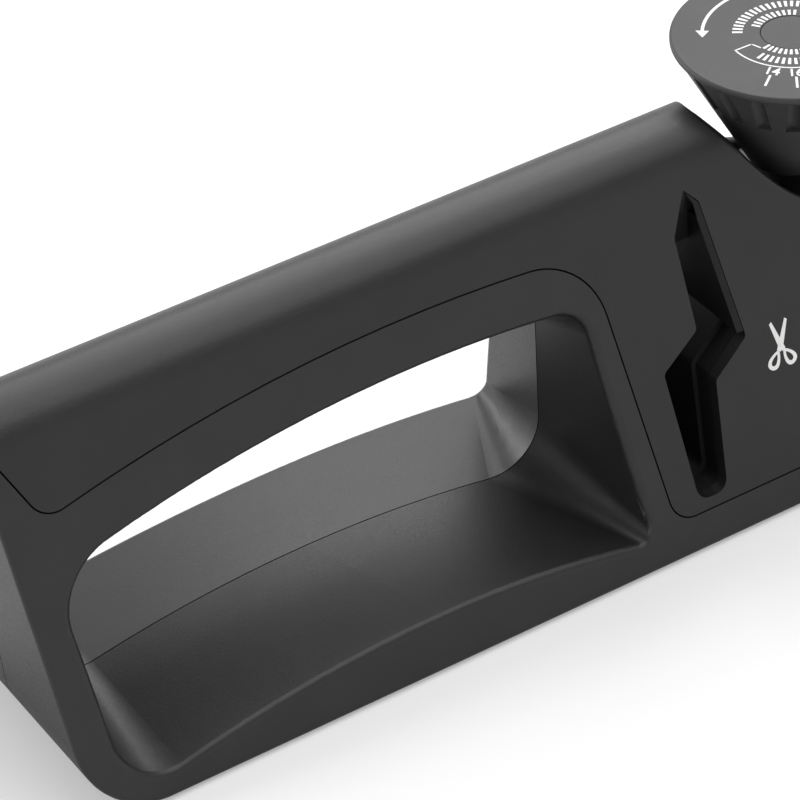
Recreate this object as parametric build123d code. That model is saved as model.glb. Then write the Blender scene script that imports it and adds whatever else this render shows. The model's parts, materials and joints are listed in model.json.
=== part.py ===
from build123d import *
import math
import os

# Pull-through knife sharpener with an angle dial, two knife slots and a scissors slot.
# X runs along the body with the handle at minus X, minus Y is the front, Z is up.
# The origin is on the table, under the middle of the body. Millimetres and degrees.

# Body, an A-shaped section with a round ridge
body_length = 243.0
body_depth = 59.4
body_height = 73.3
ridge_radius = 9.5
wall = 2.4
foot_drop = 0.4
end_lean = 3.6
end_low_radius = 15.0
end_high_radius = 8.0
edge_radius = 1.0
overrun = 4.0
fit_gap = 0.15
pin_gap = 0.05

# Handle window, drawn on the middle plane and on a plane near the front face
window_plane = 26.0
window_left_low_mid = -105.9
window_left_low_out = -109.6
window_left_high_mid = -110.8
window_left_high_out = -114.8
window_right_mid = -7.0
window_right_low_out = -1.4
window_right_high_out = -4.6
window_low_left_mid = 8.6
window_low_left_out = 3.6
window_low_crown_mid = 14.2
window_low_crown_out = 10.4
window_low_crown_x_mid = -56.5
window_low_crown_x_out = -46.0
window_low_right_mid = 8.6
window_low_right_out = 6.0
window_top_left_mid = 42.2
window_top_left_out = 45.4
window_top_crown_mid = 50.9
window_top_crown_out = 55.6
window_top_crown_x_mid = -41.5
window_top_crown_x_out = -38.2
window_top_right_mid = 49.2
window_top_right_out = 53.0
window_low_left_radius_mid = 4.5
window_low_left_radius_out = 9.5
window_top_left_radius_mid = 14.0
window_top_left_radius_out = 10.0
window_low_right_radius_mid = 9.5
window_low_right_radius_out = 2.6
window_top_right_radius_mid = 8.0
window_top_right_radius_out = 4.0
window_edge_radius = 1.6

# Parting line between the top cover and the frame, in front view
seam_gap = 0.3
seam_rail_height = 7.4
seam_right_low = 3.9
seam_right_high = -3.1
seam_shoulder_height = 60.4
seam_crown_height = 62.5
seam_crown_x = -46.0
seam_left_x = -112.4
seam_left_height = 54.4
seam_left_lean = 26.0
seam_rail_radius = 5.0
seam_shoulder_radius = 14.5
seam_left_radius = 5.0

# Scissors slot, a zigzag in front view
slot_apex_x = 18.6
slot_apex_height = 64.6
slot_shoulder_x = 21.4
slot_shoulder_height = 61.6
slot_high_right_x = 25.7
slot_kink_right_height = 35.0
slot_low_right_x = 17.8
slot_low_right_height = 29.6
slot_foot_right_x = 15.8
slot_foot_left_x = 9.6
slot_foot_height = 9.7
slot_kink_left_x = 7.5
slot_kink_left_height = 34.6
slot_high_left_x = 15.9
slot_high_left_height = 39.8
slot_top_left_x = 15.0
slot_top_left_height = 57.0
slot_corner_radius = 1.2
slot_foot_radius = 2.6
slot_lip = 6.0
slot_step = 0.9
slot_ramp_foot = 52.0
slot_strip_width = 1.4
slot_strip_top = 59.0
liner_wall = 1.6
scissor_rod_radius = 1.6
scissor_rod_length = 7.6

# Dial knob, a sunk cone with finger flutes
knob_x = 49.7
knob_radius = 21.8
knob_top = 80.5
knob_half_angle = 29.0
knob_plate = 2.2
knob_wall = 2.0
knob_lip = 1.3
knob_edge_radius = 0.5
knob_travel = 2.5
flute_count = 20
flute_radius = 1.4
flute_depth = 1.0
flute_length = 9.0
cap_radius = 5.6
cap_depth = 1.9
hub_radius = 6.0
hub_foot = 66.0

# Funnel that the knob is sunk in
funnel_floor = 51.0
funnel_floor_radius = 11.4
funnel_half_angle = 26.5
funnel_edge_radius = 1.2

# Spindle under the knob
hex_width = 5.2
hex_gap = 0.12
spindle_top = 73.5
spindle_shaft_radius = 3.5
spindle_flange_radius = 5.0
spindle_flange_foot = 55.2
spindle_flange_depth = 1.4
spindle_foot = 9.0
spindle_journal_radius = 2.5
drum_radius = 4.6
drum_foot = 19.5
drum_top = 35.4
cam_groove_radius = 1.3
cam_groove_centre = 29.0
cam_groove_spare = 15.0
clip_height = 46.2
clip_depth = 0.8
clip_radius = 5.4
clip_groove_radius = 2.9
knob_screw_head_radius = 4.2
knob_screw_head_depth = 1.6
knob_screw_radius = 1.5
knob_screw_length = 9.0
spring_wire_radius = 0.4
spring_coil_radius = 4.5
spring_turns = 5

# Index wheel and click spring, one notch for each mark of the dial
mark_count = 6
mark_step = 18.0
marks_below_rest = 3
wheel_radius = 5.9
wheel_foot = 35.8
wheel_depth = 2.0
notch_radius = 0.9
click_leaf = 0.5
click_gap = 0.1
click_height = 3.4
click_length = 20.0

# Knife stages, two crossed levers each
stage_first_x = 85.7
stage_spacing = 18.0
slit_width = 4.6
slit_foot = 48.6
slit_flare = 1.5
slit_wall = 1.2
slit_wall_foot = 61.0
saddle_width = 11.0
saddle_foot = 44.0
pivot_height = 44.0
pivot_radius = 1.5
pivot_head_radius = 2.6
pivot_head_depth = 0.8
edge_setback = 1.6
rest_angle = 20.0
angle_step = 2.0
arm_length = 15.0
arm_width = 4.2
arm_depth = 2.6
arm_offset = 0.8
lever_hub_radius = 3.2
tail_length = 16.0
tail_width = 3.4
stud_radius = 1.1
stud_gap = 0.35
blade_width = 1.6
blade_foot = 3.4
blade_length = 10.6
stone_radius = 1.5
stone_length = 11.0

# Lift bar between the spindle and the levers
lift_travel = 3.0
bar_face = 4.2
bar_depth = 1.8
bar_foot = 24.5
bar_top = 33.5
bar_end_x = 115.6
ring_radius = 6.5
ring_gap = 0.4
follower_radius = 1.0
follower_reach = 0.6
bar_slot_spare = 0.3
guide_gap = 0.3

# Chassis that carries the mechanism
chassis_left = 34.0
chassis_right = 116.0
chassis_half_depth = 9.0
chassis_plate = 2.0
chassis_floor = 2.2
chassis_top = 50.6
chassis_low_top = 40.0
chassis_step_x = 72.0
chassis_end = 2.2
chassis_boss_radius = 5.0
chassis_boss_top = 15.5
bush_radius = 3.9
bush_length = 5.5
upper_bush_radius = 5.2
upper_bush_flange_radius = 6.6
upper_bush_flange = 1.2
upper_bush_length = 3.2

# Base plate, feet and fasteners
plate_thickness = 2.2
plate_lip = 1.6
plate_end = 105.2
plate_relief = 0.6
plate_corner_radius = 4.0
foot_length = 26.0
foot_width = 9.0
foot_thickness = 1.6
foot_corner_radius = 3.0
foot_x = 84.0
foot_y = 17.0
screw_radius = 1.3
screw_gap = 0.05
screw_head_radius = 2.4
screw_head_depth = 1.5
screw_length = 10.0
frame_screw_length = 6.0
well_gap = 0.25
boss_radius = 3.2
shell_boss_radius = 2.6
shell_screw_places = ((-110.0, 6.3), (-78.0, 5.0), (-36.0, 5.0), (14.0, 5.0))
shell_screw_head_radius = 2.0
post_x = (31.6, 101.0)
post_y = 16.0
frame_screw_x = (-62.0, -28.0)
frame_screw_y = 15.0
chassis_screw_x = (40.0, 97.0)
chassis_screw_y = 4.0
shell_screw_length = 16.0
shell_screw_seat = 6.0

base_height = foot_drop
ridge_centre = body_height - ridge_radius
corner_reach = math.hypot(body_depth / 2, ridge_centre - base_height)
lean = math.atan2(body_depth / 2, ridge_centre - base_height) - math.asin(ridge_radius / corner_reach)
inner_floor = base_height + plate_thickness
knob_slope = math.tan(math.radians(knob_half_angle))
funnel_slope = math.tan(math.radians(funnel_half_angle))
stage_x = (stage_first_x, stage_first_x + stage_spacing)
knob_foot = funnel_floor + upper_bush_flange + knob_travel + guide_gap
screw_seat = base_height + screw_head_depth


def half_depth(height, inset=0.0):
    """Distance from the middle plane to a leaning face."""
    return body_depth / 2 - (height - base_height) * math.tan(lean) - inset / math.cos(lean)


def through(face):
    """Front-view face as a prism through the whole depth of the body."""
    return Plane.XZ * extrude(face, body_depth, both=True)


def rod_y(radius, x, height, start, end):
    """Cylinder along Y from one depth to another."""
    return Pos(x, (start + end) / 2, height) * Rot(90, 0, 0) * Cylinder(radius, end - start)


def rod_z(radius, x, y, start, end):
    """Upright cylinder from one height to another."""
    return Pos(x, y, (start + end) / 2) * Cylinder(radius, end - start)


def block(left, right, front, rear, low, high):
    """Box given by its six faces."""
    centre = Pos((left + right) / 2, (front + rear) / 2, (low + high) / 2)
    return centre * Box(right - left, rear - front, high - low)


def end_x(height, inset=0.0):
    """Distance from the middle of the body to a leaning end face."""
    slope = math.radians(end_lean)
    return body_length / 2 - (body_height - height) * math.tan(slope) - inset / math.cos(slope)


def body_form(inset, bottom, edge=0.0):
    """Whole outer form, or the form that lies inset inside it."""
    top = body_height - inset
    low_x, high_x = end_x(bottom, inset), end_x(top, inset)
    side = Polygon((-low_x, bottom), (low_x, bottom), (high_x, top), (-high_x, top), align=None)
    side = fillet(side.vertices().sort_by(Axis.Y)[:2], end_low_radius - inset)
    side = fillet(side.vertices().sort_by(Axis.Y)[-2:], end_high_radius - inset)
    low, high = half_depth(bottom, inset), half_depth(top, inset)
    wedge = Polygon((-low, bottom), (low, bottom), (high, top), (-high, top), align=None)
    slab = through(side) & extrude(Plane.YZ * wedge, body_length, both=True)
    if edge:
        slab = fillet(slab.faces().sort_by(SortBy.AREA)[-2:].edges(), edge)
    radius = ridge_radius - inset
    shoulder_y = radius * math.cos(lean)
    shoulder = ridge_centre + radius * math.sin(lean)
    outline = Curve() + [
        Line((-low, bottom), (low, bottom)),
        Line((low, bottom), (shoulder_y, shoulder)),
        ThreePointArc((shoulder_y, shoulder), (0, top), (-shoulder_y, shoulder)),
        Line((-shoulder_y, shoulder), (-low, bottom)),
    ]
    return slab & extrude(Plane.YZ * make_face(outline), body_length, both=True)


def corner_at(face, x, y):
    """Vertex of a flat face nearest to a point."""
    return face.vertices().sort_by(lambda corner: math.hypot(corner.X - x, corner.Y - y))[0]


def window_outline(offset, grow=0.0):
    """Handle window at one distance from the middle plane, grown all round if asked."""
    def at(mid, out):
        return mid + (out - mid) * offset / window_plane

    def corner(x_mid, x_out, height_mid, height_out, right, up):
        return at(x_mid, x_out) + right * grow, at(height_mid, height_out) + up * grow

    low_left = corner(window_left_low_mid, window_left_low_out, window_low_left_mid, window_low_left_out, -1, -1)
    low_right = corner(window_right_mid, window_right_low_out, window_low_right_mid, window_low_right_out, 1, -1)
    top_left = corner(window_left_high_mid, window_left_high_out, window_top_left_mid, window_top_left_out, -1, 1)
    top_right = corner(window_right_mid, window_right_high_out, window_top_right_mid, window_top_right_out, 1, 1)
    low_crown = corner(
        window_low_crown_x_mid, window_low_crown_x_out, window_low_crown_mid, window_low_crown_out, 0, -1)
    top_crown = corner(
        window_top_crown_x_mid, window_top_crown_x_out, window_top_crown_mid, window_top_crown_out, 0, 1)
    face = make_face(Curve() + [
        TangentArc(low_crown, low_left, tangent=(-1, 0)),
        TangentArc(low_crown, low_right, tangent=(1, 0)),
        Line(low_right, top_right),
        TangentArc(top_crown, top_right, tangent=(1, 0)),
        TangentArc(top_crown, top_left, tangent=(-1, 0)),
        Line(top_left, low_left),
    ])
    radii = (
        (low_left, window_low_left_radius_mid, window_low_left_radius_out),
        (top_left, window_top_left_radius_mid, window_top_left_radius_out),
        (low_right, window_low_right_radius_mid, window_low_right_radius_out),
        (top_right, window_top_right_radius_mid, window_top_right_radius_out),
    )
    for place, radius_mid, radius_out in radii:
        face = fillet(corner_at(face, *place), at(radius_mid, radius_out) + grow)
    return face


def window_form(grow=0.0):
    """Hourglass that the handle window cuts, narrowest on the middle plane."""
    far = body_depth / 2 + edge_radius
    outlines = [Plane.XZ * window_outline(0, grow), Plane.XZ.offset(far) * window_outline(far, grow)]
    front = loft(outlines, ruled=True)
    return front + mirror(front, Plane.XZ)


def on_window_edge(edge):
    """True for an edge where the window meets a leaning face."""
    centre = edge.center()
    inside = window_left_high_out - wall < centre.X < window_right_low_out + wall
    return inside and abs(abs(centre.Y) - half_depth(centre.Z)) < edge_radius / 2 and centre.Z > wall


def on_funnel_edge(edge):
    """True for an edge where the funnel meets the ridge or a leaning face."""
    centre = edge.center()
    away = math.hypot(centre.X - knob_x, centre.Y)
    curved = edge.geom_type in (GeomType.HYPERBOLA, GeomType.BSPLINE)
    return curved and centre.Z > funnel_floor + wall and away < knob_radius + wall


def seam_face(shrink=0.0):
    """Front-view face of everything that belongs to the top cover."""
    right_end = body_length / 2 + overrun
    top = body_height + overrun
    climb = top - seam_left_height
    left_top_x = seam_left_x - climb * math.tan(math.radians(seam_left_lean))
    rail_left = (seam_right_low, seam_rail_height)
    shoulder = (seam_right_high, seam_shoulder_height)
    left_low = (seam_left_x, seam_left_height)
    face = make_face(Curve() + [
        Line((right_end, seam_rail_height), rail_left),
        Line(rail_left, shoulder),
        ThreePointArc(shoulder, (seam_crown_x, seam_crown_height), left_low),
        Line(left_low, (left_top_x, top)),
        Line((left_top_x, top), (right_end, top)),
        Line((right_end, top), (right_end, seam_rail_height)),
    ])
    face = fillet(corner_at(face, *rail_left), seam_rail_radius)
    face = fillet(corner_at(face, *shoulder), seam_shoulder_radius)
    face = fillet(corner_at(face, *left_low), seam_left_radius)
    if shrink:
        face = offset(face, -shrink, kind=Kind.INTERSECTION)
    return face


def slot_outline(grow=0.0):
    """Zigzag of the scissors slot in front view."""
    points = [
        (slot_apex_x, slot_apex_height),
        (slot_shoulder_x, slot_shoulder_height),
        (slot_high_right_x, slot_kink_right_height),
        (slot_low_right_x, slot_low_right_height),
        (slot_foot_right_x, slot_foot_height),
        (slot_foot_left_x, slot_foot_height),
        (slot_kink_left_x, slot_kink_left_height),
        (slot_high_left_x, slot_high_left_height),
        (slot_top_left_x, slot_top_left_height),
    ]
    face = Polygon(*points, align=None)
    for foot in points[4:6]:
        face = fillet(corner_at(face, *foot), slot_foot_radius)
    for kink in points[2:4] + points[6:]:
        face = fillet(corner_at(face, *kink), slot_corner_radius)
    if grow:
        face = offset(face, grow, kind=Kind.INTERSECTION)
    return face


def cone_about_knob(radius, height, slope, low, high):
    """Upright cone round the dial's axis, given its radius at one height."""
    low_radius = radius + (low - height) * slope
    high_radius = radius + (high - height) * slope
    return Pos(knob_x, 0, (low + high) / 2) * Cone(low_radius, high_radius, high - low)


def funnel(grow=0.0):
    """Sunk cone that the knob stands in."""
    low = funnel_floor - grow
    side = grow / math.cos(math.radians(funnel_half_angle))
    radius = funnel_floor_radius + side
    return cone_about_knob(radius, funnel_floor, funnel_slope, low, knob_top)


def slit(x, width):
    """Knife slot with a round foot, cut through from front to rear."""
    upright = block(x - width / 2, x + width / 2, -body_depth, body_depth, slit_foot, knob_top)
    return upright + rod_y(width / 2, x, slit_foot, -body_depth, body_depth)


def saddle_zone(x, gap):
    """Room that a slot guide takes out of the cover."""
    half = saddle_width / 2 + gap
    return block(x - half, x + half, -body_depth, body_depth, saddle_foot - gap, knob_top)


def floor_zone(gap):
    """Opening in the floor of the frame, which the base plate fills."""
    half_width = half_depth(base_height, wall + plate_lip) - gap
    outline = RectangleRounded(2 * (plate_end - gap), 2 * half_width, plate_corner_radius)
    return Pos(0, 0, base_height - overrun) * extrude(outline, overrun + plate_thickness + plate_relief)


def shell_screw_hole(x, height, rear_well):
    """Well, clearance hole and pilot hole for one screw that joins the frame halves."""
    pilot_end = shell_screw_seat - shell_screw_length
    hole = rod_y(screw_radius + screw_gap, x, height, pilot_end, shell_screw_seat)
    if rear_well:
        hole += rod_y(shell_screw_head_radius + well_gap, x, height, shell_screw_seat, body_depth)
    return hole


def mirrored_places(x_values, y):
    """Places at each X, in front of and behind the middle plane."""
    return [(x, side * y) for x in x_values for side in (-1, 1)]


frame_screws = mirrored_places(frame_screw_x, frame_screw_y)
post_screws = mirrored_places(post_x, post_y)
chassis_screws = mirrored_places(chassis_screw_x, chassis_screw_y)


def pilot(x, y, length=screw_length):
    """Pilot hole for a screw that comes up through the base plate."""
    return rod_z(screw_radius + screw_gap, x, y, screw_seat, screw_seat + length)


outer = body_form(0, base_height, edge_radius)
inner = body_form(wall, inner_floor)
inner_fit = body_form(wall + fit_gap, inner_floor)
cavity = inner - window_form(wall)
skin = outer - window_form() - funnel()
skin = fillet(skin.edges().filter_by(GeomType.BSPLINE).filter_by(on_window_edge), window_edge_radius)
skin = fillet(skin.edges().filter_by(on_funnel_edge), funnel_edge_radius)


def slot_core():
    """Room inside the scissors slot's floor, which rises to the surface at the apex."""
    lip = slot_lip / math.cos(lean)
    profile = [
        (half_depth(inner_floor) - lip, inner_floor),
        (half_depth(slot_ramp_foot) - lip, slot_ramp_foot),
        (half_depth(slot_apex_height), slot_apex_height),
    ]
    mirrored = [(-y, height) for y, height in reversed(profile)]
    return extrude(Plane.YZ * Polygon(*profile, *mirrored, align=None), body_length, both=True)


def slot_strip():
    """Edge of the lining that shows along the right side of the scissors slot."""
    slope = (slot_high_right_x - slot_shoulder_x) / (slot_kink_right_height - slot_shoulder_height)
    high_x = slot_shoulder_x + (slot_strip_top - slot_shoulder_height) * slope - fit_gap
    low = slot_kink_right_height + slot_corner_radius
    low_x = slot_high_right_x + slot_corner_radius * slope - fit_gap
    inner_low_x, inner_high_x = low_x - slot_strip_width, high_x - slot_strip_width
    strip = Polygon((inner_low_x, low), (low_x, low), (high_x, slot_strip_top), (inner_high_x, slot_strip_top), align=None)
    return (through(strip) & outer) - slot_core()


def make_shell():
    """Hollow body with the window walled in and the floor open."""
    return skin - cavity - floor_zone(0)


def make_top_cover(shell, mouth):
    """Grip top and head skin in one piece, with the funnel, the slots and four screw posts."""
    cover = shell & through(seam_face(seam_gap))
    posts = [rod_z(boss_radius, x, y, inner_floor, body_height) for x, y in post_screws]
    cover += [post & cavity for post in posts]
    cover += funnel(wall) & skin
    cover -= funnel()
    cover -= rod_z(upper_bush_radius + pin_gap, knob_x, 0, inner_floor, knob_top)
    cover -= mouth
    for x in stage_x:
        cover -= saddle_zone(x, 0)
    for x, y in post_screws:
        cover -= pilot(x, y)
    return cover


def make_frame(shell):
    """Loop round the window and the rail under the head, still in one piece."""
    frame = shell - through(seam_face())
    bosses = [rod_y(shell_boss_radius, x, z, -body_depth, body_depth) for x, z in shell_screw_places]
    bosses += [rod_z(boss_radius, x, y, inner_floor, window_low_crown_mid) for x, y in frame_screws]
    frame += [boss & cavity for boss in bosses]
    for x, y in frame_screws:
        frame -= pilot(x, y, frame_screw_length)
    return frame


def make_frame_half(frame, side):
    """Front half (side -1) or rear half (side 1) of the frame, with its screw holes."""
    front, rear = sorted((0, side * body_depth))
    half = frame & block(-body_length, body_length, front, rear, 0, body_height)
    for x, height in shell_screw_places:
        half -= shell_screw_hole(x, height, side > 0)
    return half


def make_base_plate():
    """Floor of the body, with screw holes and shallow seats for the feet."""
    half_length = body_length / 2
    plate = floor_zone(fit_gap) & outer & block(-half_length, half_length, -body_depth, body_depth, 0, inner_floor)
    for x, y in frame_screws + post_screws + chassis_screws:
        plate -= rod_z(screw_radius + screw_gap, x, y, 0, inner_floor)
        plate -= rod_z(screw_head_radius + well_gap, x, y, 0, screw_seat)
    for x, y in foot_places():
        plate -= foot_form(x, y, fit_gap)
    return plate


def foot_places():
    """Middles of the four feet."""
    return [(x, y) for x in (-foot_x, foot_x) for y in (-foot_y, foot_y)]


def foot_form(x, y, gap=0.0):
    """Rubber foot, or the room that it takes out of the base plate."""
    outline = RectangleRounded(foot_length + 2 * gap, foot_width + 2 * gap, foot_corner_radius)
    return Pos(x, y, 0) * extrude(outline, foot_thickness)


def upright_screw(x, y, length=screw_length):
    """Pan-head screw driven up through the base plate."""
    head = rod_z(screw_head_radius, x, y, base_height, screw_seat)
    return head + rod_z(screw_radius, x, y, screw_seat, screw_seat + length - screw_gap)


def shell_screw(x, height):
    """Screw along Y that joins the two frame halves."""
    end = shell_screw_seat - shell_screw_length + screw_gap
    head_end = shell_screw_seat + screw_head_depth
    head = rod_y(shell_screw_head_radius, x, height, shell_screw_seat, head_end)
    return head + rod_y(screw_radius, x, height, end, shell_screw_seat)


def make_slot_guide(x):
    """Saddle over the ridge that lines one knife slot."""
    guide = (outer & saddle_zone(x, -fit_gap)) - inner
    half = slit_width / 2 + slit_wall
    walls = block(x - half, x + half, -body_depth, body_depth, slit_wall_foot, body_height)
    guide += walls & inner
    guide -= slit(x, slit_width)

    def on_mouth(edge):
        centre = edge.center()
        at_slit = abs(abs(centre.X - x) - slit_width / 2) < pin_gap
        return at_slit and (abs(centre.Y) > half_depth(centre.Z) - pin_gap or centre.Z > body_height - wall / 2)

    return chamfer(guide.edges().filter_by(on_mouth), slit_flare)


def make_scissors_guide(mouth):
    """Lining of the scissors slot, open from front to rear, with seats for two ceramic rods."""
    liner = through(slot_outline(liner_wall)) & inner_fit
    low = block(-body_length, body_length, -body_depth, body_depth, 0, slot_ramp_foot)
    liner -= mouth
    liner -= through(slot_outline(-slot_step)) & low
    liner += slot_strip()
    for upper in (False, True):
        liner -= scissor_rod(upper, pin_gap)
    return liner


def scissor_rod(upper, gap=0.0):
    """Ceramic rod along one slanted edge of the zigzag, half sunk in the lining."""
    if upper:
        start = Vector(slot_kink_left_x, 0, slot_kink_left_height)
        end = Vector(slot_high_left_x, 0, slot_high_left_height)
    else:
        start = Vector(slot_high_right_x, 0, slot_kink_right_height)
        end = Vector(slot_low_right_x, 0, slot_low_right_height)
    along = (end - start).normalized()
    inward = along.cross(Vector(0, 1, 0)) * (slot_step + scissor_rod_radius / 2)
    plane = Plane((start + end) * (1 / 2) + inward, z_dir=along)
    return plane * Cylinder(scissor_rod_radius + gap, scissor_rod_length + 2 * gap)


def knob_surface(height):
    """Radius of the knob's cone at one height."""
    return knob_radius - (knob_top - knob_lip - height) * knob_slope


def hexagon(width, low, high):
    """Hexagonal prism round the dial's axis, given the width across its flats."""
    outline = RegularPolygon(width / 2, 6, major_radius=False)
    return Pos(knob_x, 0, low) * extrude(outline, high - low)


def make_knob():
    """Hollow cone with a flat dial on top, a splined hub and finger flutes under its lip."""
    lip_foot = knob_top - knob_lip
    plate_foot = knob_top - knob_plate
    knob = rod_z(knob_radius, knob_x, 0, lip_foot, knob_top)
    knob = fillet(knob.edges().filter_by(GeomType.CIRCLE), knob_edge_radius)
    knob += cone_about_knob(knob_radius - knob_edge_radius, lip_foot, knob_slope, knob_foot, lip_foot + knob_edge_radius)
    inside = knob_radius - knob_edge_radius - knob_wall / math.cos(math.radians(knob_half_angle))
    knob -= cone_about_knob(inside, lip_foot, knob_slope, knob_foot - overrun, plate_foot)
    knob += rod_z(hub_radius, knob_x, 0, hub_foot, plate_foot)
    knob -= hexagon(hex_width + 2 * hex_gap, hub_foot - overrun, spindle_top)
    knob -= rod_z(knob_screw_head_radius + well_gap, knob_x, 0, spindle_top, knob_top)
    knob -= rod_z(cap_radius + pin_gap, knob_x, 0, knob_top - cap_depth, knob_top)
    start = lip_foot - flute_radius
    away = flute_radius - flute_depth
    tilt = math.radians(knob_half_angle)
    centre_radius = knob_surface(start) - knob_edge_radius + away * math.cos(tilt)
    centre_height = start - away * math.sin(tilt)
    flute = Sphere(flute_radius) + Pos(0, 0, -flute_length / 2) * Cylinder(flute_radius, flute_length)
    flute = Pos(centre_radius, 0, centre_height) * Rot(0, knob_half_angle, 0) * flute
    step = 360 / flute_count
    knob -= [Pos(knob_x, 0, 0) * Rot(0, 0, index * step) * flute for index in range(flute_count)]
    return knob


def make_knob_cap():
    """Round cap over the knob's screw."""
    cap = rod_z(cap_radius, knob_x, 0, knob_top - cap_depth, knob_top)
    return fillet(cap.edges().group_by(Axis.Z)[-1], knob_edge_radius / 2)


def make_knob_screw():
    """Screw that keeps the knob on the spindle and lets it be pressed down."""
    head = rod_z(knob_screw_head_radius, knob_x, 0, spindle_top, spindle_top + knob_screw_head_depth)
    return head + rod_z(knob_screw_radius, knob_x, 0, spindle_top - knob_screw_length + screw_gap, spindle_top)


def make_return_spring():
    """Coil spring between the spindle's flange and the knob's hub."""
    low = spindle_flange_foot + spindle_flange_depth + spring_wire_radius
    height = hub_foot - spring_wire_radius - low
    path = Helix(height / spring_turns, height, spring_coil_radius, center=(knob_x, 0, low))
    return sweep(Plane(path @ 0, z_dir=path % 0) * Circle(spring_wire_radius), path=path, is_frenet=True)


def cam_groove():
    """Screw-shaped groove that lifts the bar as the spindle turns."""
    pitch = lift_travel * 360 / ((mark_count - 1) * mark_step)
    first = -(marks_below_rest * mark_step + cam_groove_spare)
    span = (mark_count - 1) * mark_step + 2 * cam_groove_spare
    path = Helix(pitch, pitch * span / 360, drum_radius)
    groove = sweep(Plane(path @ 0, z_dir=path % 0) * Circle(cam_groove_radius), path=path, is_frenet=True)
    return Pos(knob_x, 0, cam_groove_centre + pitch * first / 360) * Rot(0, 0, first) * groove


def make_spindle():
    """Stepped shaft with a hexagonal top, a spring seat and the cam drum."""
    spindle = rod_z(spindle_journal_radius, knob_x, 0, spindle_foot, drum_foot)
    spindle += rod_z(drum_radius, knob_x, 0, drum_foot, drum_top)
    spindle += rod_z(spindle_shaft_radius, knob_x, 0, drum_top, spindle_flange_foot)
    flange_top = spindle_flange_foot + spindle_flange_depth
    spindle += rod_z(spindle_flange_radius, knob_x, 0, spindle_flange_foot, flange_top)
    spindle += hexagon(hex_width, flange_top, spindle_top)
    spindle -= cam_groove()
    spindle -= rod_z(knob_screw_radius + pin_gap / 2, knob_x, 0, spindle_top - knob_screw_length, spindle_top)
    groove = rod_z(clip_radius, knob_x, 0, clip_height, clip_height + clip_depth)
    return spindle - (groove - rod_z(clip_groove_radius, knob_x, 0, clip_height, clip_height + clip_depth))


def make_spindle_clip():
    """Open retaining ring under the upper bush."""
    top = clip_height + clip_depth - pin_gap
    clip = rod_z(clip_radius, knob_x, 0, clip_height + pin_gap, top)
    clip -= rod_z(clip_groove_radius + pin_gap, knob_x, 0, clip_height, top)
    mouth = clip_groove_radius
    return clip - block(knob_x, knob_x + 2 * clip_radius, -mouth, mouth, clip_height, clip_height + clip_depth)


def make_upper_bush():
    """Flanged bush in the floor of the funnel."""
    bush = rod_z(upper_bush_flange_radius, knob_x, 0, funnel_floor, funnel_floor + upper_bush_flange)
    bush += rod_z(upper_bush_radius, knob_x, 0, funnel_floor - upper_bush_length, funnel_floor)
    low = funnel_floor - upper_bush_length
    return bush - rod_z(spindle_shaft_radius + pin_gap, knob_x, 0, low, funnel_floor + upper_bush_flange)


def make_lower_bush():
    """Plain bush for the spindle's foot."""
    low = chassis_boss_top - bush_length
    bush = rod_z(bush_radius, knob_x, 0, low, chassis_boss_top)
    return bush - rod_z(spindle_journal_radius + pin_gap, knob_x, 0, low, chassis_boss_top)


def make_index_wheel():
    """Notched wheel on the spindle, one notch for each mark of the dial."""
    top = wheel_foot + wheel_depth
    wheel = rod_z(wheel_radius, knob_x, 0, wheel_foot, top)
    wheel -= rod_z(spindle_shaft_radius + pin_gap / 2, knob_x, 0, wheel_foot, top)
    for mark in range(mark_count):
        turn = math.radians(90 + (mark - marks_below_rest) * mark_step)
        x, y = wheel_radius * math.cos(turn), wheel_radius * math.sin(turn)
        wheel -= rod_z(notch_radius, knob_x + x, y, wheel_foot, top)
    return wheel


def make_click_spring():
    """Flat spring on the chassis, its nose drawn lifted just clear of the index wheel."""
    face = chassis_half_depth - chassis_plate
    middle = wheel_foot + wheel_depth / 2
    left, right = knob_x - click_length / 2, knob_x + click_length / 2
    leaf = block(left, right, face - click_leaf, face, middle - click_height / 2, middle + click_height / 2)
    nose_radius = face - wheel_radius - click_gap
    nose = rod_z(nose_radius, knob_x, face, middle - wheel_depth / 2, middle + wheel_depth / 2)
    return leaf + (nose & block(left, right, 0, face, 0, body_height))


def lift_at(angle):
    """Height of the lift bar above its rest, for one edge angle."""
    return lift_travel * (angle - rest_angle) / ((mark_count - 1) * angle_step)


def make_lift_bar():
    """Bar with a ring round the cam drum and a slanted slot for each lever's stud."""
    bar = rod_z(ring_radius, knob_x, 0, bar_foot, bar_top)
    bar += block(knob_x, bar_end_x, bar_face, bar_face + bar_depth, bar_foot, bar_top)
    bar -= rod_z(drum_radius + ring_gap, knob_x, 0, bar_foot, bar_top)
    inner_reach = drum_radius - follower_reach
    follower = Pos(knob_x + (inner_reach + ring_radius) / 2, 0, cam_groove_centre) * Rot(0, 90, 0)
    bar += follower * Cylinder(follower_radius, ring_radius - inner_reach)
    lowest = rest_angle - marks_below_rest * angle_step
    highest = lowest + (mark_count - 1) * angle_step
    width = 2 * (stud_radius + stud_gap)
    for x in stage_x:
        for side in (-1, 1):
            ends = []
            for angle in (lowest, highest):
                turn = math.radians(angle)
                height = pivot_height - tail_length * math.cos(turn) - lift_at(angle)
                ends.append(Vector(x + side * tail_length * math.sin(turn), height))
            middle = (ends[0] + ends[1]) * (1 / 2)
            run = ends[1] - ends[0]
            slot = SlotCenterToCenter(run.length + bar_slot_spare, width, rotation=math.degrees(math.atan2(run.Y, run.X)))
            bar -= through(Pos(middle.X, middle.Y) * slot)
    return bar


def edge_place(side, angle=rest_angle):
    """Lever frame of one side (-1 leans left, 1 leans right) turned to its angle."""
    return Rot(0, side * angle, 0)


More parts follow.
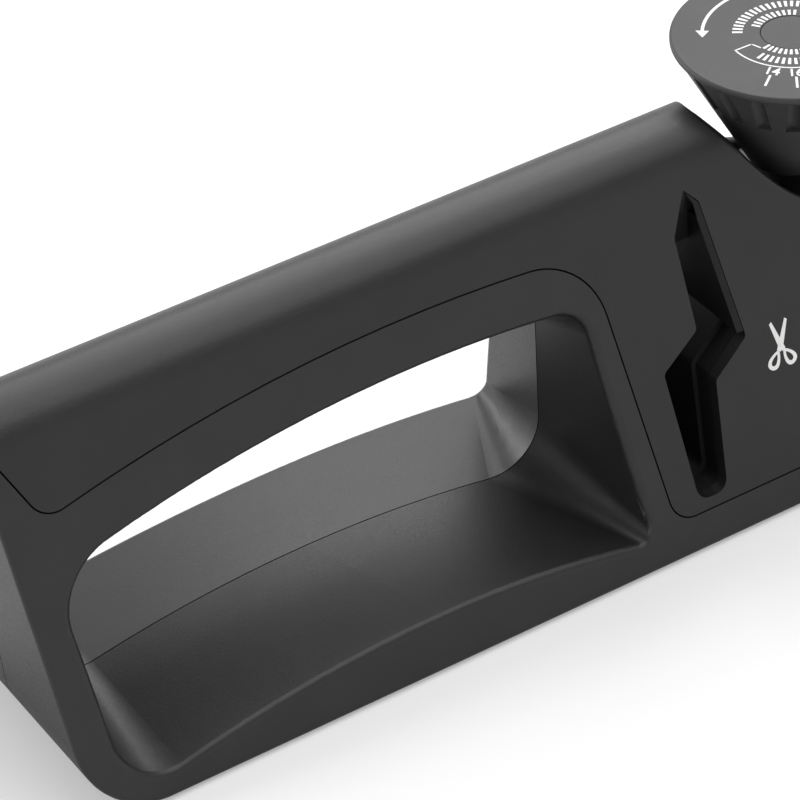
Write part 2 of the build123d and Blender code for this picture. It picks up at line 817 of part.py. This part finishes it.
def lever_block(side, inside, outside, low, high, front, rear):
    """Box in a lever's own upright frame, measured outward from its edge line."""
    left, right = sorted((side * (inside - edge_setback), side * (outside - edge_setback)))
    return block(left, right, front, rear, low, high)


def arm_faces(side):
    """Front and rear of one lever's arm."""
    return sorted((side * arm_offset, side * (arm_offset + arm_depth)))


def cutter_form(kind, side):
    """Carbide blade or ceramic stone in the lever's own frame."""
    front, rear = arm_faces(side)
    if kind == "coarse":
        return lever_block(side, 0, blade_width, blade_foot, blade_foot + blade_length, front, rear)
    x = side * (stone_radius - edge_setback)
    return rod_z(stone_radius, x, (front + rear) / 2, blade_foot, blade_foot + stone_length)


def make_lever(kind, x, side):
    """Lever that carries one cutter above its pivot and a cam stud below it."""
    front, rear = arm_faces(side)
    inside = stone_radius if kind == "fine" else 0
    lever = lever_block(side, inside, arm_width, 0, arm_length, front, rear)
    lever = fillet(lever.edges().filter_by(Axis.Y).group_by(Axis.Z)[-1], arm_width / 4)
    lever += block(-tail_width / 2, tail_width / 2, front, rear, -tail_length, 0)
    lever += rod_y(tail_width / 2, 0, -tail_length, front, rear)
    lever += rod_y(lever_hub_radius, 0, 0, *sorted((side * hub_start(), side * hub_end())))
    stud_start = rear if side > 0 else front + arm_depth / 2
    lever += rod_y(stud_radius, 0, -tail_length, stud_start, bar_face + bar_depth)
    lever -= rod_y(pivot_radius + pin_gap, 0, 0, -body_depth, body_depth)
    lever -= cutter_form(kind, side)
    return Pos(x, 0, pivot_height) * edge_place(side) * lever


def hub_start():
    """Distance of a lever hub's inner end from the middle plane."""
    return pin_gap


def hub_end():
    """Distance of a lever hub's outer end from the middle plane."""
    return chassis_half_depth - chassis_plate - fit_gap


def make_cutter(kind, x, side):
    """Cutter of one lever at its rest angle."""
    return Pos(x, 0, pivot_height) * edge_place(side) * cutter_form(kind, side)


def make_pivot_pin(x):
    """Headed pin through both chassis plates."""
    face = chassis_half_depth
    pin = rod_y(pivot_radius, x, pivot_height, -face, face)
    return pin + rod_y(pivot_head_radius, x, pivot_height, -face - pivot_head_depth, -face)


def make_chassis():
    """Open frame on the base plate that carries the spindle, the levers and the lift bar."""
    half = chassis_half_depth
    chassis = block(chassis_left, chassis_right, -half, half, inner_floor, inner_floor + chassis_floor)
    for side in (-1, 1):
        front, rear = sorted((side * (half - chassis_plate), side * half))
        chassis += block(chassis_left, chassis_right, front, rear, inner_floor, chassis_low_top)
        chassis += block(chassis_step_x, chassis_right, front, rear, inner_floor, chassis_top)
    chassis += block(chassis_left, chassis_left + chassis_end, -half, half, inner_floor, chassis_low_top)
    chassis += block(chassis_right - chassis_end, chassis_right, -half, half, inner_floor, chassis_top)
    chassis += rod_z(chassis_boss_radius + chassis_plate, knob_x, 0, inner_floor, chassis_boss_top)
    chassis -= rod_z(bush_radius + pin_gap, knob_x, 0, chassis_boss_top - bush_length, chassis_boss_top)
    chassis -= rod_z(spindle_journal_radius + fit_gap, knob_x, 0, inner_floor + chassis_floor, chassis_boss_top)
    for x in stage_x:
        chassis -= slit(x, slit_width)
        chassis -= rod_y(pivot_radius + pin_gap, x, pivot_height, -body_depth, body_depth)
    low = bar_foot + lift_at(rest_angle - marks_below_rest * angle_step) - guide_gap
    high = bar_top + lift_at(rest_angle + (mark_count - 1 - marks_below_rest) * angle_step) + guide_gap
    rear = bar_face + bar_depth + guide_gap
    chassis -= block(bar_end_x - overrun, bar_end_x + overrun, bar_face - guide_gap, rear, low, high)
    for x, y in chassis_screws:
        chassis -= pilot(x, y)
    return chassis & inner_fit


def group(solids):
    """Several separate solids in one node."""
    return Compound(children=solids)


def all_parts():
    """Every node of the model by name."""
    shell = make_shell()
    mouth = through(slot_outline()) - slot_core()
    frame = make_frame(shell)
    parts = {
        "top_cover": make_top_cover(shell, mouth),
        "frame_front": make_frame_half(frame, -1),
        "frame_rear": make_frame_half(frame, 1),
        "base_plate": make_base_plate(),
        "scissors_guide": make_scissors_guide(mouth),
        "scissor_rod_upper": scissor_rod(True),
        "scissor_rod_lower": scissor_rod(False),
        "chassis": make_chassis(),
        "knob": make_knob(),
        "knob_cap": make_knob_cap(),
        "knob_screw": make_knob_screw(),
        "return_spring": make_return_spring(),
        "spindle": make_spindle(),
        "spindle_clip": make_spindle_clip(),
        "upper_bush": make_upper_bush(),
        "lower_bush": make_lower_bush(),
        "index_wheel": make_index_wheel(),
        "click_spring": make_click_spring(),
        "lift_bar": make_lift_bar(),
        "base_screws": group([upright_screw(x, y) for x, y in post_screws]),
        "frame_screws": group([upright_screw(x, y, frame_screw_length) for x, y in frame_screws]),
        "chassis_screws": group([upright_screw(x, y) for x, y in chassis_screws]),
        "shell_screws": group([shell_screw(x, height) for x, height in shell_screw_places]),
    }
    corners = ("rear", "front")
    for x, y in foot_places():
        name = "foot_" + corners[y < 0] + ("_left" if x < 0 else "_right")
        parts[name] = foot_form(x, y)
    for kind, cutter, x in zip(("coarse", "fine"), ("blade", "stone"), stage_x):
        parts[kind + "_slot_guide"] = make_slot_guide(x)
        parts[kind + "_pivot_pin"] = make_pivot_pin(x)
        for side, word in ((-1, "_left_"), (1, "_right_")):
            parts[kind + word + "lever"] = make_lever(kind, x, side)
            parts[kind + word + cutter] = make_cutter(kind, x, side)
    return parts


os.makedirs("parts", exist_ok=True)
for name, shape in all_parts().items():
    export_step(shape, "parts/" + name + ".step")
    print(name, shape.is_valid, len(shape.solids()), round(shape.volume, 1))
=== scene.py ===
import json
import math

import bpy
from mathutils import Matrix, Vector


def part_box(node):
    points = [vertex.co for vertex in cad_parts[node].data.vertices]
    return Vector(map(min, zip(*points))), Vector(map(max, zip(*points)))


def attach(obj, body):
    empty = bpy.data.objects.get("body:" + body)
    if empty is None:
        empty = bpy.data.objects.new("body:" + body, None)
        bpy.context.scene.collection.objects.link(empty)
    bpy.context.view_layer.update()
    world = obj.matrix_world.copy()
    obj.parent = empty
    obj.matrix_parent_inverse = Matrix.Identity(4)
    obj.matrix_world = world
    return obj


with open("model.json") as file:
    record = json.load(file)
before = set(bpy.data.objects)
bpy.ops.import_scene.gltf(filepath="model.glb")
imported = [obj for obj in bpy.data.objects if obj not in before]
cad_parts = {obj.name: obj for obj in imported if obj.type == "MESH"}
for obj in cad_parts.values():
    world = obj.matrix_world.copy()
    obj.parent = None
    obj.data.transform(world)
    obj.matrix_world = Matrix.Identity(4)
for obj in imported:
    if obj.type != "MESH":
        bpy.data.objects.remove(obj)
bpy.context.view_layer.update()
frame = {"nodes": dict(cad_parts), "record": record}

nodes = frame["nodes"]

MM = 0.001

# Camera, worked out from the photograph by perspective. Image pixels and millimetres.
image_size = 800
focal_px = 4032
sensor_mm = 36
camera_azimuth = -30.7
camera_elevation = 37.3
camera_roll = 3.5
camera_place = Vector((-324.2, -485.5, 467.1)) * MM

# Body surfaces that marks are printed on
knob_low, knob_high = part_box("knob")
dial_x = (knob_low[0] + knob_high[0]) / 2
dial_radius = (knob_high[0] - knob_low[0]) / 2
dial_top = knob_high[2]
face_lean = math.radians(17.24)
face_foot_depth = 29.7 * MM
face_foot_height = 0.4 * MM

# Print on the dial. A share is a part of the dial's radius, and angles are in degrees.
ink_depth = 0.03 * MM
number_first = 14
number_last = 24
number_step = 2
number_at_front = 20
number_turn = 9.0
number_shift = 2.0
number_share = 0.61
number_height = 3.2 * MM
number_boldness = 0.02
number_narrow = 0.88
tick_start_share = 0.68
tick_end_share = 0.82
tick_width = 0.45 * MM
banner_line = 0.3 * MM
banner_share = 0.54
banner_tip_share = 0.533
banner_corner_share = 0.372
banner_slope_share = 0.345
banner_corner_turn = 2
banner_slope_turn = 11
banner_start = -186
banner_end = 6
arrow_radius = 0.73 * dial_radius
arrow_half_width = 0.3 * MM
arrow_head_half_width = 1.2 * MM
arrow_head_turn = 8
arrow_start = 92
arrow_end = 141

# Rows of marks on the dial: inner and outer share, first and last angle, pitch
mark_rows = {
    "dial_banner_low_row": (0.39, 0.48, banner_start + 24, banner_end - 24, 6.4),
    "dial_banner_high_row": (0.26, 0.335, banner_start + 16, banner_end - 16, 8.6),
    "dial_middle_row": (0.40, 0.485, 40, 143, 6.4),
    "dial_inner_row": (0.27, 0.345, 48, 124, 8.6),
}

# Marks on the front face, and the tips of the zigzag slot's lining
pointer_height = 51.0 * MM
pictogram_x = 32.5 * MM
pictogram_height = 31.2 * MM
pictogram_tilt = -4.0
pictogram_scale = 0.63
loop_x = 2.5 * MM
loop_y = -4.6 * MM
loop_turn = 32
tip_points = ((20.38, 59.02), (21.68, 59.02), (21.25, 61.5), (18.85, 64.1), (20.1, 61.6))
tip_depth = 0.15 * MM
tip_sink = 1.3 * tip_depth

# Width of the painted shadow line on each side of the middle plane, where the two frames meet
joint_shadow_width = 0.16 * MM

# Studio
floor_reach = 4.0
floor_tone = 0.7
floor_glow = 0.27
sky_low = 0.95
sky_high = 0.35
lamp_target = (0.0, 0.0, 0.04)


def new_material(name):
    """Node material with its node tree and its shader."""
    material = bpy.data.materials.new(name)
    material.use_nodes = True
    tree = material.node_tree
    return material, tree, tree.nodes["Principled BSDF"]


def add(tree, kind, **values):
    """One shader node with some of its inputs set by name."""
    node = tree.nodes.new(kind)
    for key, value in values.items():
        node.inputs[key.replace("_", " ")].default_value = value
    return node


def object_place(tree):
    """Coordinates of the piece itself, in metres."""
    return tree.nodes.new("ShaderNodeTexCoord").outputs["Object"]


def ramp(tree, source, low, high, low_value, high_value):
    """Value between two limits, following another value."""
    node = tree.nodes.new("ShaderNodeMapRange")
    for key, value in (("From Min", low), ("From Max", high), ("To Min", low_value), ("To Max", high_value)):
        node.inputs[key].default_value = value
    tree.links.new(source, node.inputs["Value"])
    return node.outputs["Result"]


def colour_between(tree, factor, first, second):
    """Colour mixed between two by a factor."""
    node = tree.nodes.new("ShaderNodeMix")
    node.data_type = "RGBA"
    node.inputs["A"].default_value = (*first, 1)
    node.inputs["B"].default_value = (*second, 1)
    tree.links.new(factor, node.inputs["Factor"])
    return node.outputs["Result"]


def moulded_plastic(name, tone, grain=0.00022, depth=0.5, rough=(0.46, 0.56), specular=0.5):
    """Moulded plastic with the fine spark texture of its mould."""
    material, tree, shader = new_material(name)
    place = object_place(tree)
    fine = add(tree, "ShaderNodeTexNoise", Scale=1 / grain, Detail=3.0, Roughness=0.6)
    broad = add(tree, "ShaderNodeTexNoise", Scale=90.0, Detail=4.0, Roughness=0.55)
    for texture in (fine, broad):
        tree.links.new(place, texture.inputs["Vector"])
    dark = tuple(channel * 0.88 for channel in tone)
    light = tuple(channel * 1.12 for channel in tone)
    shade = ramp(tree, broad.outputs["Fac"], 0.35, 0.65, 0.0, 1.0)
    tree.links.new(colour_between(tree, shade, dark, light), shader.inputs["Base Color"])
    gloss = ramp(tree, fine.outputs["Fac"], 0.3, 0.7, rough[0], rough[1])
    tree.links.new(gloss, shader.inputs["Roughness"])
    shader.inputs["Specular IOR Level"].default_value = specular
    bump = add(tree, "ShaderNodeBump", Strength=depth, Distance=0.00003)
    tree.links.new(fine.outputs["Fac"], bump.inputs["Height"])
    tree.links.new(bump.outputs["Normal"], shader.inputs["Normal"])
    return material


def ground_metal(name, tone, rough=(0.22, 0.38), stretch=(1.0, 1.0, 30.0)):
    """Metal with the fine lines of grinding or drawing."""
    material, tree, shader = new_material(name)
    place = object_place(tree)
    scale = add(tree, "ShaderNodeVectorMath")
    scale.operation = "MULTIPLY"
    scale.inputs[1].default_value = stretch
    tree.links.new(place, scale.inputs[0])
    lines = add(tree, "ShaderNodeTexNoise", Scale=700.0, Detail=3.0, Roughness=0.6)
    tree.links.new(scale.outputs["Vector"], lines.inputs["Vector"])
    shade = ramp(tree, lines.outputs["Fac"], 0.3, 0.7, 0.0, 1.0)
    dark = tuple(channel * 0.8 for channel in tone)
    tree.links.new(colour_between(tree, shade, dark, tone), shader.inputs["Base Color"])
    gloss = ramp(tree, lines.outputs["Fac"], 0.3, 0.7, rough[0], rough[1])
    tree.links.new(gloss, shader.inputs["Roughness"])
    shader.inputs["Metallic"].default_value = 1.0
    bump = add(tree, "ShaderNodeBump", Strength=0.25, Distance=0.00001)
    tree.links.new(lines.outputs["Fac"], bump.inputs["Height"])
    tree.links.new(bump.outputs["Normal"], shader.inputs["Normal"])
    return material


def fired_ceramic(name, tone):
    """Unglazed white ceramic with a fine abrasive grain."""
    material, tree, shader = new_material(name)
    place = object_place(tree)
    grain = add(tree, "ShaderNodeTexNoise", Scale=5000.0, Detail=2.0, Roughness=0.7)
    tree.links.new(place, grain.inputs["Vector"])
    shade = ramp(tree, grain.outputs["Fac"], 0.35, 0.65, 0.0, 1.0)
    dark = tuple(channel * 0.9 for channel in tone)
    tree.links.new(colour_between(tree, shade, dark, tone), shader.inputs["Base Color"])
    shader.inputs["Roughness"].default_value = 0.62
    bump = add(tree, "ShaderNodeBump", Strength=0.5, Distance=0.00002)
    tree.links.new(grain.outputs["Fac"], bump.inputs["Height"])
    tree.links.new(bump.outputs["Normal"], shader.inputs["Normal"])
    return material


def printed_ink(name, tone):
    """White pad-printed ink, slightly uneven where it lies on the texture."""
    material, tree, shader = new_material(name)
    place = object_place(tree)
    cover = add(tree, "ShaderNodeTexNoise", Scale=2600.0, Detail=2.0, Roughness=0.6)
    tree.links.new(place, cover.inputs["Vector"])
    shade = ramp(tree, cover.outputs["Fac"], 0.3, 0.55, 0.0, 1.0)
    thin = tuple(channel * 0.86 for channel in tone)
    tree.links.new(colour_between(tree, shade, thin, tone), shader.inputs["Base Color"])
    shader.inputs["Roughness"].default_value = 0.5
    return material


def dark_joint(material):
    """Painted shadow: a fine near-black line without reflection where the two halves of the handle loop meet, on
    the middle plane.
    """
    tree = material.node_tree
    shader = tree.nodes["Principled BSDF"]
    axes = tree.nodes.new("ShaderNodeSeparateXYZ")
    tree.links.new(object_place(tree), axes.inputs["Vector"])
    away = tree.nodes.new("ShaderNodeMath")
    away.operation = "ABSOLUTE"
    tree.links.new(axes.outputs["Y"], away.inputs[0])
    clear_of_joint_shadow = ramp(tree, away.outputs["Value"], joint_shadow_width / 2, joint_shadow_width, 0.0, 1.0)
    colour = tree.nodes.new("ShaderNodeMix")
    colour.data_type = "RGBA"
    # Near-black colour of the painted joint shadow; the specular below also drops to nothing inside it
    colour.inputs["A"].default_value = (0.001, 0.001, 0.001, 1)
    tree.links.new(shader.inputs["Base Color"].links[0].from_socket, colour.inputs["B"])
    sheen = tree.nodes.new("ShaderNodeMix")
    sheen.inputs["A"].default_value = 0.0
    sheen.inputs["B"].default_value = shader.inputs["Specular IOR Level"].default_value
    for mix, name in ((colour, "Base Color"), (sheen, "Specular IOR Level")):
        tree.links.new(clear_of_joint_shadow, mix.inputs["Factor"])
        tree.links.new(mix.outputs["Result"], shader.inputs[name])
    return material


shell_finish = {"grain": 0.0004, "depth": 0.8, "rough": (0.32, 0.46)}
shell_plastic = moulded_plastic("shell_plastic", (0.008, 0.008, 0.0078), **shell_finish)
# The frames' plastic carries the painted shadow line at their joint
frame_plastic = dark_joint(moulded_plastic("frame_plastic", (0.011, 0.011, 0.0108), **shell_finish))
dial_plastic = moulded_plastic("dial_plastic", (0.030, 0.030, 0.0305), grain=0.0003, depth=0.35)
# The guide plastic is the part's black plastic, made darker and less glossy than the shell as painted shade of
# the deep zigzag slot
guide_plastic = moulded_plastic(
    "guide_plastic", (0.004, 0.004, 0.004), grain=0.0004, depth=0.2, rough=(0.5, 0.6), specular=0.3)
inner_plastic = moulded_plastic("inner_plastic", (0.30, 0.30, 0.29), grain=0.0004, depth=0.2)
zinc_steel = ground_metal("zinc_steel", (0.62, 0.62, 0.60))
spring_steel = ground_metal("spring_steel", (0.50, 0.50, 0.50), rough=(0.18, 0.3))
carbide = ground_metal("carbide", (0.42, 0.42, 0.43), rough=(0.25, 0.4), stretch=(30.0, 1.0, 1.0))
stone = fired_ceramic("stone", (0.88, 0.87, 0.83))
bush_brass = ground_metal("bush", (0.72, 0.55, 0.28))
foot_rubber = moulded_plastic("foot_rubber", (0.03, 0.03, 0.03), grain=0.0006, depth=0.4, rough=(0.7, 0.85))
ink = printed_ink("ink", (0.86, 0.86, 0.85))

materials = {
    "shell_plastic": shell_plastic,
    "dial_plastic": dial_plastic,
    "guide_plastic": guide_plastic,
    "inner_plastic": inner_plastic,
    "zinc_steel": zinc_steel,
    "spring_steel": spring_steel,
    "carbide": carbide,
    "stone": stone,
    "bush": bush_brass,
    "foot_rubber": foot_rubber,
}


def dress_nodes():
    """Gives every construction piece the finish of its slot, and the two frames their own, with the painted joint
    shadow.
    """
    slots = {entry["node"]: entry["material_slot"] for entry in frame["record"]["subparts"]}
    for name, piece in nodes.items():
        piece.data.materials.clear()
        finish = frame_plastic if name in ("frame_front", "frame_rear") else materials[slots[name]]
        piece.data.materials.append(finish)


def flat_curve(name, loops, place, depth=ink_depth, finish=ink):
    """Thin flat piece from closed loops of points."""
    curve = bpy.data.curves.new(name, "CURVE")
    curve.dimensions = "2D"
    curve.fill_mode = "BOTH"
    curve.extrude = depth
    for points in loops:
        spline = curve.splines.new("POLY")
        spline.points.add(len(points) - 1)
        for point, (x, y) in zip(spline.points, points):
            point.co = (x, y, 0, 1)
        spline.use_cyclic_u = True
    piece = bpy.data.objects.new(name, curve)
    bpy.context.scene.collection.objects.link(piece)
    piece.matrix_world = place
    curve.materials.append(finish)
    return piece


def on_front(x, height, tilt=0.0):
    """Frame on the leaning front face, X along the body and Y up the face."""
    depth = face_foot_depth - (height - face_foot_height) * math.tan(face_lean)
    stand = Matrix.Rotation(math.radians(90) - face_lean, 4, "X")
    return Matrix.Translation((x, -depth, height)) @ stand @ Matrix.Rotation(math.radians(tilt), 4, "Z")


def around(radius, angle):
    """Point at a radius and an angle in degrees."""
    turn = math.radians(angle)
    return (radius * math.cos(turn), radius * math.sin(turn))


def arc(radius, start, end, steps):
    """Points along an arc, angles in degrees."""
    return [around(radius, start + (end - start) * index / steps) for index in range(steps + 1)]


def band(inner, outer, start, end, steps=40):
    """Closed outline of a piece of a ring."""
    return arc(inner, start, end, steps) + arc(outer, end, start, steps)


def at_dial(share, angle):
    """Point on the dial, from its share of the radius and its angle."""
    return around(share * dial_radius, angle)


def stroke(first, last, width):
    """Closed outline of a straight line between two points."""
    along = (Vector(last) - Vector(first)).normalized() * width / 2
    side = Vector((-along.y, along.x))
    first, last = Vector(first) - along, Vector(last) + along
    return [tuple(first - side), tuple(last - side), tuple(last + side), tuple(first + side)]


def mark_row(name, inner, outer, start, end, pitch, place):
    """Row of short plain marks round the dial, each half as wide as the pitch."""
    count = round((end - start) / pitch)
    marks = []
    for index in range(count + 1):
        angle = start + index * (end - start) / count
        marks.append(band(inner * dial_radius, outer * dial_radius, angle - pitch / 4, angle + pitch / 4, 2))
    print_on(flat_curve(name, marks, place), "knob")


def print_on(piece, body):
    """Printed mark that moves with a body."""
    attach(piece, body)


def dial_angle(number):
    """Place of one number round the dial, in degrees."""
    return -90 + (number - number_at_front) * number_turn + number_shift


def number_piece(number):
    """One plain number, its foot towards the rim."""
    text = bpy.data.curves.new("dial_number_%d" % number, "FONT")
    text.body = str(number)
    text.size = number_height
    text.align_x = "CENTER"
    text.align_y = "CENTER"
    text.extrude = ink_depth
    text.offset = number_height * number_boldness
    text.materials.append(ink)
    piece = bpy.data.objects.new(text.name, text)
    bpy.context.scene.collection.objects.link(piece)
    turn = Matrix.Rotation(math.radians(dial_angle(number) + 90), 4, "Z")
    reach = Matrix.Translation((0, -number_share * dial_radius, 0))
    narrow = Matrix.Scale(number_narrow, 4, (1, 0, 0))
    piece.matrix_world = Matrix.Translation((dial_x, 0, dial_top)) @ turn @ reach @ narrow
    print_on(piece, "knob")


def make_dial_print():
    """Numbers, ticks, a banner, rows of marks and a turning arrow on the dial."""
    lift = Matrix.Translation((dial_x, 0, dial_top))
    ticks = []
    for number in range(number_first, number_last + 1, number_step):
        angle = dial_angle(number)
        ticks.append(stroke(at_dial(tick_start_share, angle), at_dial(tick_end_share, angle), tick_width))
        number_piece(number)
    print_on(flat_curve("dial_ticks", ticks, lift), "knob")

    reach = banner_share * dial_radius
    low_edge = band(reach - banner_line, reach, banner_start, banner_end)
    print_on(flat_curve("dial_banner_low", [low_edge], lift), "knob")
    for side, tip, way in (("left", banner_start, 1), ("right", banner_end, -1)):
        corner = at_dial(banner_corner_share, tip - way * banner_corner_turn)
        end = stroke(at_dial(banner_tip_share, tip), corner, banner_line)
        slope = stroke(corner, at_dial(banner_slope_share, tip + way * banner_slope_turn), banner_line)
        print_on(flat_curve("dial_banner_end_" + side, [end], lift), "knob")
        print_on(flat_curve("dial_banner_slope_" + side, [slope], lift), "knob")
    for name, row in mark_rows.items():
        mark_row(name, *row, lift)

    heads = []
    for base, tip in ((arrow_start, arrow_start - arrow_head_turn), (arrow_end, arrow_end + arrow_head_turn)):
        heads.append([
            around(arrow_radius - arrow_head_half_width, base),
            around(arrow_radius, tip),
            around(arrow_radius + arrow_head_half_width, base),
        ])
    shaft = band(arrow_radius - arrow_half_width, arrow_radius + arrow_half_width, arrow_start, arrow_end)
    print_on(flat_curve("dial_arrow", [shaft], lift), "knob")
    print_on(flat_curve("dial_arrow_heads", heads, lift), "knob")


def tear_loop(centre, reach, width, turn, steps=32):
    """Points of a drop-shaped handle loop, its tip towards the rivet."""
    points = []
    spin = math.radians(turn)
    for index in range(steps):
        angle = 2 * math.pi * index / steps
        along = -reach * math.cos(angle)
        across = width * math.sin(angle) * (1 - 0.45 * along / reach)
        points.append((
            centre[0] + across * math.cos(spin) - along * math.sin(spin),
            centre[1] + across * math.sin(spin) + along * math.cos(spin),
        ))
    return points


def make_pictogram():
    """Plain open scissors, points up, printed beside the zigzag slot."""
    place = on_front(pictogram_x, pictogram_height, pictogram_tilt) @ Matrix.Scale(pictogram_scale, 4)
    for side, name in ((-1, "left"), (1, "right")):
        blade = [
            (side * 3.1 * MM, 6.5 * MM),
            (side * 2.3 * MM, 7.1 * MM),
            (-side * 1.5 * MM, -1.8 * MM),
            (-side * 0.3 * MM, -2.6 * MM),
            (side * 1.0 * MM, -0.4 * MM),
        ]
        over = place @ Matrix.Translation((0, 0, side * ink_depth))
        print_on(flat_curve("scissors_mark_blade_" + name, [blade], over), "body")
        centre = (side * loop_x, loop_y)
        ring = [
            tear_loop(centre, 3.0 * MM, 1.85 * MM, side * loop_turn),
            tear_loop(centre, 1.8 * MM, 0.8 * MM, side * loop_turn),
        ]
        print_on(flat_curve("scissors_mark_loop_" + name, ring, place), "body")


def make_guide_tips():
    """Pointed tips of the lining's edge at the top of the zigzag slot, on both faces."""
    foot_x, foot_height = tip_points[0]
    sink = Matrix.Translation((0, 0, -tip_sink))
    for name, way, turn in (("front", 1, 0), ("rear", -1, 180)):
        place = Matrix.Rotation(math.radians(turn), 4, "Z") @ on_front(way * foot_x * MM, foot_height * MM) @ sink
        loop = [
            (way * (x - foot_x) * MM, (height - foot_height) * MM / math.cos(face_lean))
            for x, height in tip_points
        ]
        # The tips take the guide plastic, with its painted slot shade
        tip = flat_curve("guide_tip_" + name, [loop], place, depth=tip_depth, finish=guide_plastic)
        print_on(tip, "body")


def make_pointer():
    """Small printed triangle under the dial that its numbers are read against."""
    place = on_front(dial_x, pointer_height)
    point = [(-1.3 * MM, -1.6 * MM), (1.3 * MM, -1.6 * MM), (0, 1.4 * MM)]
    print_on(flat_curve("pointer_mark", [point], place), "body")


def make_floor():
    """Large pale floor that shows white and keeps the object's shadow."""
    mesh = bpy.data.meshes.new("floor")
    corners = [(x * floor_reach, y * floor_reach, 0) for x, y in ((-1, -1), (1, -1), (1, 1), (-1, 1))]
    mesh.from_pydata(corners, [], [(0, 1, 2, 3)])
    floor = bpy.data.objects.new("floor", mesh)
    bpy.context.scene.collection.objects.link(floor)
    material, tree, shader = new_material("floor")
    shader.inputs["Base Color"].default_value = (floor_tone, floor_tone, floor_tone, 1)
    shader.inputs["Roughness"].default_value = 0.9
    shader.inputs["Specular IOR Level"].default_value = 0.0
    shader.inputs["Emission Color"].default_value = (1, 1, 1, 1)
    path = tree.nodes.new("ShaderNodeLightPath")
    glow = ramp(tree, path.outputs["Is Camera Ray"], 0, 1, 0.0, floor_glow)
    tree.links.new(glow, shader.inputs["Emission Strength"])
    mesh.materials.append(material)


def make_world():
    """Pale light all round, dimmer overhead, and white where the camera sees it."""
    world = bpy.data.worlds.new("studio")
    bpy.context.scene.world = world
    world.use_nodes = True
    tree = world.node_tree
    background = tree.nodes["Background"]
    background.inputs["Color"].default_value = (1, 1, 1, 1)
    ray = tree.nodes.new("ShaderNodeTexCoord").outputs["Generated"]
    axes = tree.nodes.new("ShaderNodeSeparateXYZ")
    tree.links.new(ray, axes.inputs["Vector"])
    studio = ramp(tree, axes.outputs["Z"], 0.1, 0.7, sky_low, sky_high)
    path = tree.nodes.new("ShaderNodeLightPath")
    level = tree.nodes.new("ShaderNodeMix")
    level.inputs["B"].default_value = 1.0
    tree.links.new(path.outputs["Is Camera Ray"], level.inputs["Factor"])
    tree.links.new(studio, level.inputs["A"])
    tree.links.new(level.outputs["Result"], background.inputs["Strength"])


def area_light(name, place, size, power):
    """Soft rectangular lamp aimed at the object."""
    lamp = bpy.data.lights.new(name, "AREA")
    lamp.shape = "RECTANGLE"
    lamp.size, lamp.size_y = size
    lamp.energy = power
    piece = bpy.data.objects.new(name, lamp)
    bpy.context.scene.collection.objects.link(piece)
    piece.location = place
    aim = Vector(lamp_target) - Vector(place)
    piece.rotation_euler = aim.to_track_quat("-Z", "Y").to_euler()


def make_lights():
    """Soft light from behind on both sides and from above, with a little from the left and the front."""
    area_light("low_left_back", (-0.75, 1.25, 0.42), (1.3, 0.6), 11)
    area_light("high_right_back", (0.8, 0.9, 1.05), (1.4, 1.1), 13)
    area_light("above", (0.38, -0.05, 1.5), (1.8, 1.3), 15)
    area_light("left", (-1.3, -0.6, 0.35), (0.7, 0.7), 2)
    area_light("front_fill", (-0.2, -1.7, 1.1), (1.6, 1.2), 1.5)


def make_camera():
    """Camera of the photograph."""
    azimuth, elevation, roll = (math.radians(a) for a in (camera_azimuth, camera_elevation, camera_roll))
    back = Vector((
        math.sin(azimuth) * math.cos(elevation),
        -math.cos(azimuth) * math.cos(elevation),
        math.sin(elevation),
    ))
    level = Vector((math.cos(azimuth), math.sin(azimuth), 0))
    upright = back.cross(level)
    right = level * math.cos(roll) - upright * math.sin(roll)
    up = level * math.sin(roll) + upright * math.cos(roll)
    camera = bpy.data.cameras.new("camera")
    camera.sensor_width = sensor_mm
    camera.sensor_fit = "HORIZONTAL"
    camera.lens = sensor_mm * focal_px / image_size
    camera.clip_start = 0.01
    camera.clip_end = 20
    piece = bpy.data.objects.new("camera", camera)
    bpy.context.scene.collection.objects.link(piece)
    turn = Matrix((right, up, back)).transposed().to_4x4()
    piece.matrix_world = Matrix.Translation(camera_place) @ turn
    bpy.context.scene.camera = piece


bpy.context.scene.view_settings.view_transform = "Standard"
dress_nodes()
make_dial_print()
make_pictogram()
make_guide_tips()
make_pointer()
make_floor()
make_world()
make_lights()
make_camera()
